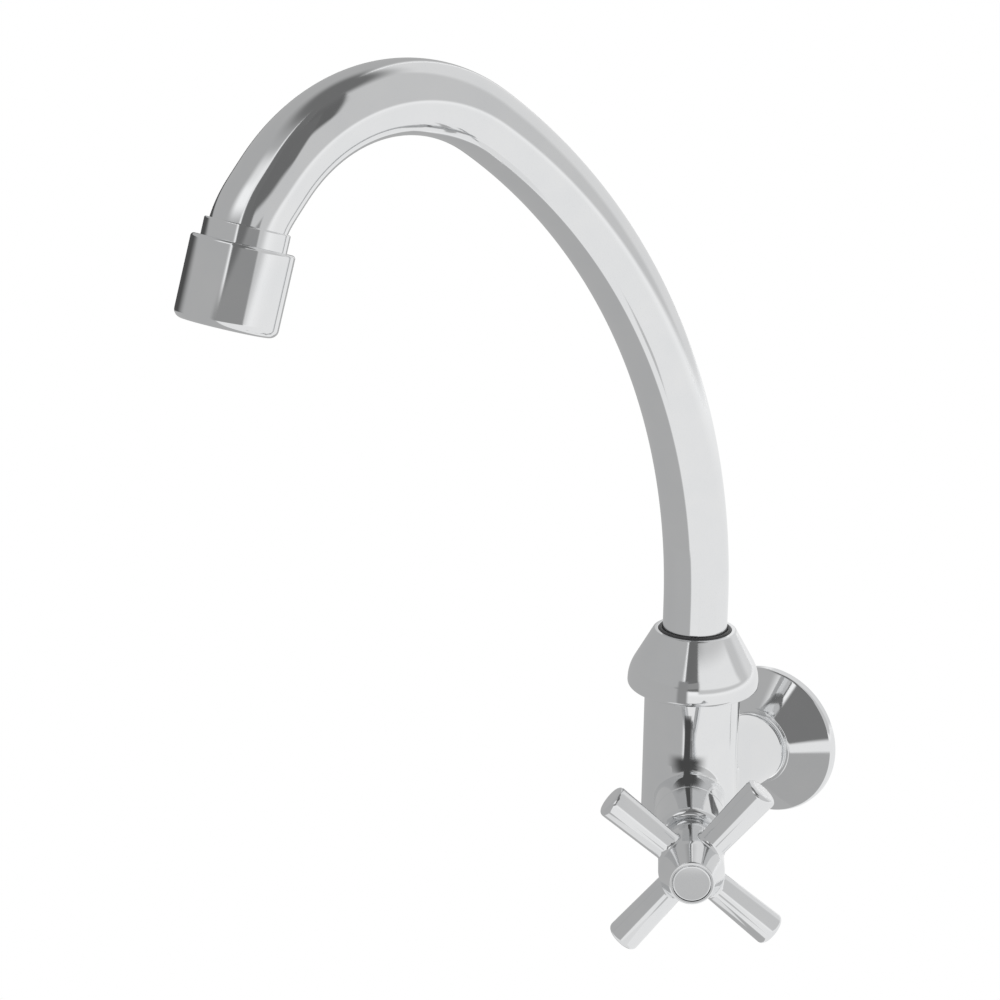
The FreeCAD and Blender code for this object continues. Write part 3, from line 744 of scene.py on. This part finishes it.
studio = {
    "floorBelow": 1250.0,       # a wall faucet hangs well above the floor
    "floorReach": 6000.0, "floorLines": 9,
    "floorTint": (0.93, 0.93, 0.925, 1), "floorRough": 0.9,
    "surround": 0.75,           # light that the room gives to matt surfaces
    "middle": (-10.0, -110.0, 90.0),
    "cardLines": (73, 49),      # grid lines of a card, by azimuth and by elevation
}
white = (1, 1, 1, 1)
spoutTip, collarMiddle = (-46.0, -198.0, 180.0), (0.0, -50.5, 45.0)

# Reflectors round the faucet, each a part of a sphere that is seen from inside it.
# azimuth goes from straight out towards the right, elevation from level upwards.
# soft: fading at the low and high azimuth and at the low and high elevation, in degrees.
# about: the sphere's centre, where it isn't the studio's middle; distance: its radius.
# outside: 1 where the card is also seen from outside its sphere.
reflectors = {
    "greyScreen": {
        "azimuth": (-156, 14), "elevation": (-89, 89), "soft": (8, 4, 0, 0),
        "distance": 1000, "level": 0.45,
    },
    "whiteSweep": {
        "azimuth": (10, 206), "elevation": (-89, 2), "soft": (4, 6, 0, 14),
        "distance": 1010, "level": 0.87,
    },
    "paleScreen": {
        "azimuth": (40, 206), "elevation": (-4, 89), "soft": (4, 8, 6, 0),
        "distance": 1020, "level": 0.61,
    },
    "paleBack": {
        "azimuth": (138, 206), "elevation": (-4, 70), "soft": (16, 8, 6, 10),
        "distance": 1015, "level": 0.76,
    },
    "cameraSide": {
        "azimuth": (14, 46), "elevation": (3, 84), "soft": (4, 5, 5, 4),
        "distance": 960, "level": 0.17,
    },
    "darkHigh": {
        "azimuth": (40, 82), "elevation": (36, 80), "soft": (4, 6, 8, 6),
        "distance": 950, "level": 0.14,
    },
    "ceiling": {
        "azimuth": (-180, 180), "elevation": (66, 90), "soft": (0, 0, 14, 0),
        "distance": 940, "level": 0.17,
    },
    "ceilingFront": {
        "azimuth": (-150, 80), "elevation": (57, 90), "soft": (10, 12, 23, 0),
        "distance": 942, "level": 0.17,
    },
    "brightSlit": {
        "azimuth": (-34, 15), "elevation": (25, 59), "soft": (24, 6, 14, 12),
        "distance": 920, "level": 1.0,
    },
    # small cards close to one part of the faucet, seen only in reflections: painted reflections
    # that set the light and dark marks on that part
    "tipDark": {
        "azimuth": (40, 80), "elevation": (18, 66), "soft": (3, 4, 8, 8),
        "distance": 250, "level": 0.16, "about": spoutTip,
    },
    "tipGrey": {
        "azimuth": (2, 76), "elevation": (-16, 10), "soft": (14, 4, 4, 3),
        "distance": 252, "level": 0.3, "about": spoutTip,
    },
    "tipBlack": {
        "azimuth": (-150, -62), "elevation": (-15, 12), "soft": (4, 34, 4, 4),
        "distance": 330, "level": 0.08, "about": (-46.0, -198.0, 169.0),
    },
    "collarShade": {        # keeps tipBlack out of the collar
        "azimuth": (-138, -38), "elevation": (-22, 44), "soft": (0, 0, 0, 0),
        "distance": 150, "level": 0.45, "about": (0.0, -50.0, 45.0),
    },
    "collarUpper": {        # keeps the slit out of the collar
        "azimuth": (-62, 17), "elevation": (-6, 60), "soft": (40, 4, 4, 24),
        "distance": 34, "level": 0.46, "about": collarMiddle,
    },
    "collarPale": {
        "azimuth": (36, 104), "elevation": (-8, 30), "soft": (5, 8, 4, 14),
        "distance": 34, "level": 0.86, "about": collarMiddle,
    },
    # painted reflection: a dark strip close to the collar, seen only in reflections, lays a dark
    # line down the collar's cone
    "collarPaintedReflection": {
        "azimuth": (11, 26), "elevation": (-20, 20), "soft": (4, 4, 3, 3),
        "distance": 26, "level": 0.28, "about": (0.0, -50.5, 36.0),
    },
    # painted reflection: a narrow dark strip just outside the body's side, seen only in
    # reflections, lays a dark streak on the body where it mirrors the shaded back of the handle
    # hub
    "columnPaintedReflection": {
        "azimuth": (20, 31), "elevation": (-40, 40), "soft": (2, 3, 0, 16),
        "distance": 17, "level": 0.07, "about": (0.0, -50.5, 19.0), "outside": 1.0,
    },
    # painted shade: a dark card just outside the body's side, seen only in reflections, darkens
    # the crease where the top of the handle's boss meets the body
    "bossPaintedShade": {
        "azimuth": (-4, 56), "elevation": (-4, 13), "soft": (22, 22, 0, 10),
        "distance": 16.2, "level": 0.07, "about": (0.0, -50.5, 12.0), "outside": 1.0,
    },
    # painted reflection: a dark card close to the flange, seen only in reflections, keeps the slit
    # out of the flange and lays a dark patch on it
    "flangeDark": {
        "azimuth": (-14, 64), "elevation": (-21, 68), "soft": (8, 6, 6, 8),
        "distance": 30, "level": 0.2, "about": (15.0, -6.0, 12.0),
    },
    "flangeBoard": {
        "azimuth": (-75, 64), "elevation": (-89, -6), "soft": (10, 4, 0, 4),
        "distance": 60, "level": 0.42, "about": (12.0, -8.0, -8.0),
    },
    "tailPale": {           # keeps the flange out of the tail
        "azimuth": (70, 214), "elevation": (-70, 78), "soft": (12, 8, 10, 6),
        "distance": 17, "level": 0.82, "about": (0.0, -25.0, 0.0),
    },
    "handleFront": {
        "azimuth": (26, 41), "elevation": (-33, -20.5), "soft": (3, 3, 4, 2),
        "distance": 150, "level": 0.55, "about": (30.0, -100.0, 0.0),
    },
    "handleBoard": {
        "azimuth": (-75, 24), "elevation": (-80, -28), "soft": (12, 4, 6, 4),
        "distance": 60, "level": 0.8, "about": (27.0, -95.0, 0.0),
    },
}


def stageMesh(name, grid, material, fade=None):
    # open sheet through the grid's points; fade is how much of the material shows at each
    rows, columns = grid.shape[:2]
    here = np.arange(rows * columns).reshape(rows, columns)
    faces = np.stack([here[:-1, :-1], here[:-1, 1:], here[1:, 1:], here[1:, :-1]], -1)
    mesh = bpy.data.meshes.new(name)
    mesh.from_pydata((grid.reshape(-1, 3) * mm).tolist(), [], faces.reshape(-1, 4).tolist())
    if fade is not None:
        edgeFade = mesh.attributes.new("edgeFade", "FLOAT", "POINT")
        edgeFade.data.foreach_set("value", fade.astype(np.float32).ravel())
    mesh.shade_smooth()
    mesh.materials.append(material)
    thing = bpy.data.objects.new(name, mesh)
    scene.collection.objects.link(thing)
    return thing


def seenWhite(tree):
    # 1 for rays from the camera and for those mirrored or passed by the object
    path = addNode(tree, "ShaderNodeLightPath")
    first = addNode(tree, "ShaderNodeMath", operation="MAXIMUM")
    second = addNode(tree, "ShaderNodeMath", operation="MAXIMUM")
    joinUp(
        tree,
        (path.outputs["Is Camera Ray"], first.inputs[0]),
        (path.outputs["Is Glossy Ray"], first.inputs[1]),
        (first.outputs[0], second.inputs[0]),
        (path.outputs["Is Transmission Ray"], second.inputs[1]),
    )
    return second.outputs[0]


def floorFinish():
    # pale and matt to the light, white to the camera
    material, tree, shader = newFinish("paleFloor")
    shader.inputs["Base Color"].default_value = studio["floorTint"]
    shader.inputs["Roughness"].default_value = studio["floorRough"]
    glow = addNode(tree, "ShaderNodeEmission", {"Color": white, "Strength": 1.0})
    blend = addNode(tree, "ShaderNodeMixShader")
    joinUp(
        tree,
        (seenWhite(tree), blend.inputs[0]),
        (shader.outputs[0], blend.inputs[1]), (glow.outputs[0], blend.inputs[2]),
        (blend.outputs[0], tree.nodes["Material Output"].inputs["Surface"]),
    )
    return material


def cardFinish(name, card):
    # plain glow, see-through where the card fades and from its outer side
    material, tree, shader = newFinish(name)
    tree.nodes.remove(shader)
    glow = addNode(tree, "ShaderNodeEmission", {"Color": white, "Strength": card["level"]})
    through = addNode(tree, "ShaderNodeBsdfTransparent")
    shown = addNode(tree, "ShaderNodeAttribute", attribute_name="edgeFade")
    facing = addNode(tree, "ShaderNodeNewGeometry")
    outside = {1: card.get("outside", 0.0)}
    sided = addNode(tree, "ShaderNodeMath", outside, operation="MAXIMUM")
    share = addNode(tree, "ShaderNodeMath", operation="MULTIPLY")
    blend = addNode(tree, "ShaderNodeMixShader")
    joinUp(
        tree,
        (facing.outputs["Backfacing"], sided.inputs[0]), (sided.outputs[0], share.inputs[0]),
        (shown.outputs["Fac"], share.inputs[1]), (share.outputs[0], blend.inputs[0]),
        (through.outputs[0], blend.inputs[1]), (glow.outputs[0], blend.inputs[2]),
        (blend.outputs[0], tree.nodes["Material Output"].inputs["Surface"]),
    )
    return material


def fadeAcross(span, soft):
    # eased from 0 at each end of the span to 1 inside it, over the two given widths
    def eased(distance, width):
        return smoothStep(distance / width) if width else np.ones_like(distance)

    return eased(span - span[0], soft[0]) * eased(span[-1] - span, soft[1])


def cardGrid(card):
    # Part of a sphere: azimuth a and elevation e lie at distance (cos e sin a, -cos e cos a,
    # sin e) from its centre. The second grid is how much of the card shows.
    azimuthLines, elevationLines = studio["cardLines"]
    azimuth = np.linspace(*card["azimuth"], azimuthLines)
    elevation = np.linspace(*card["elevation"], elevationLines)
    a, e = np.radians(azimuth), np.radians(elevation)[:, None]
    outward = [np.cos(e) * np.sin(a), -np.cos(e) * np.cos(a), np.sin(e)]
    grid = np.stack(np.broadcast_arrays(*outward), -1) * card["distance"]
    azimuthFade = fadeAcross(azimuth, card["soft"][:2])
    elevationFade = fadeAcross(elevation, card["soft"][2:])[:, None]
    return grid + np.array(card.get("about", studio["middle"])), elevationFade * azimuthFade


floorLine = np.linspace(-studio["floorReach"], studio["floorReach"], studio["floorLines"])
floorX, floorY = np.meshgrid(floorLine, floorLine)
floorLevel = cadLow[2] / mm - studio["floorBelow"]
stageMesh("floor", np.stack([floorX, floorY, 0 * floorX + floorLevel], -1), floorFinish())

for name, card in reflectors.items():
    grid, fade = cardGrid(card)
    screen = stageMesh(name, grid, cardFinish(name, card), fade)
    screen.visible_camera = False
    screen.visible_diffuse = False
    screen.visible_shadow = False

world = bpy.data.worlds.new("studioWorld")
scene.world = world
world.use_nodes = True
tree = world.node_tree
background = tree.nodes["Background"]
background.inputs["Color"].default_value = white
level = addNode(tree, "ShaderNodeMapRange", {"To Min": studio["surround"], "To Max": 1.0})
joinUp(
    tree,
    (seenWhite(tree), level.inputs["Value"]),
    (level.outputs["Result"], background.inputs["Strength"]),
)

softLamps = {
    "keyLamp": {"place": (750.0, -700.0, 900.0), "size": 700.0, "power": 9.0},
    "fillLamp": {"place": (-800.0, -500.0, 500.0), "size": 700.0, "power": 3.0},
}
for name, lamp in softLamps.items():
    light = bpy.data.lights.new(name, "AREA")
    light.size, light.energy = lamp["size"] * mm, lamp["power"]
    place = np.array(lamp["place"])
    aim = np.array(studio["middle"]) - place
    aim /= np.linalg.norm(aim)
    across = np.cross(aim, [0, 0, 1])
    across /= np.linalg.norm(across)
    columns = np.stack([across, np.cross(across, aim), -aim, place * mm], -1)
    holder = bpy.data.objects.new(name, light)
    holder.matrix_world = Matrix(columns.tolist() + [[0, 0, 0, 1]])
    holder.visible_glossy = False
    scene.collection.objects.link(holder)
print("studio made")

# camera, fitted to the photograph's outlines
camera = {
    "place": (306.07, -590.93, 260.15), "heading": 34.90, "downTilt": 15.454, "roll": 0.689,
    "lens": 79.2, "sensor": 36.0,
    "clip": (20.0, 30000.0),
}
lens = bpy.data.cameras.new("camera")
lens.lens, lens.sensor_width = camera["lens"], camera["sensor"]
lens.clip_start, lens.clip_end = camera["clip"][0] * mm, camera["clip"][1] * mm
viewer = bpy.data.objects.new("camera", lens)
viewer.matrix_world = (
    Matrix.Translation([c * mm for c in camera["place"]])
    @ Matrix.Rotation(math.radians(camera["heading"]), 4, "Z")
    @ Matrix.Rotation(math.radians(90 - camera["downTilt"]), 4, "X")
    @ Matrix.Rotation(math.radians(camera["roll"]), 4, "Z")
)
scene.collection.objects.link(viewer)
bpy.context.scene.camera = viewer
bpy.context.scene.view_settings.view_transform = "Standard"
